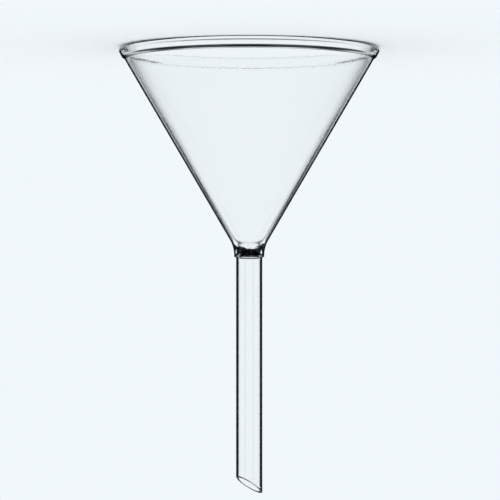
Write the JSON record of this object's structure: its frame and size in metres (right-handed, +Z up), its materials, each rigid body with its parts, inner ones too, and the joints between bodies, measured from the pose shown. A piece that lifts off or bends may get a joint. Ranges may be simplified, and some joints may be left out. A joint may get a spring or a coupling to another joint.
{
  "type": "conical filter funnel",
  "caption": "Clear glass filter funnel: a wide cone with a rolled rim bead, a sealed neck and a straight tubular stem with a slanted tip, for pouring and filtering liquids.",
  "frame": {"origin": "centre of the mouth in the plane of its rim, on which the funnel stands", "axes": "+Z up the axis of cone and stem, from the mouth to the tip; +X away from the long side of the tip"},
  "size_m": [0.1, 0.1, 0.171],
  "materials": {
    "clear_glass": "fire polished"
  },
  "bodies": {
    "root": {"funnel": "clear_glass"}
  },
  "joints": []
}
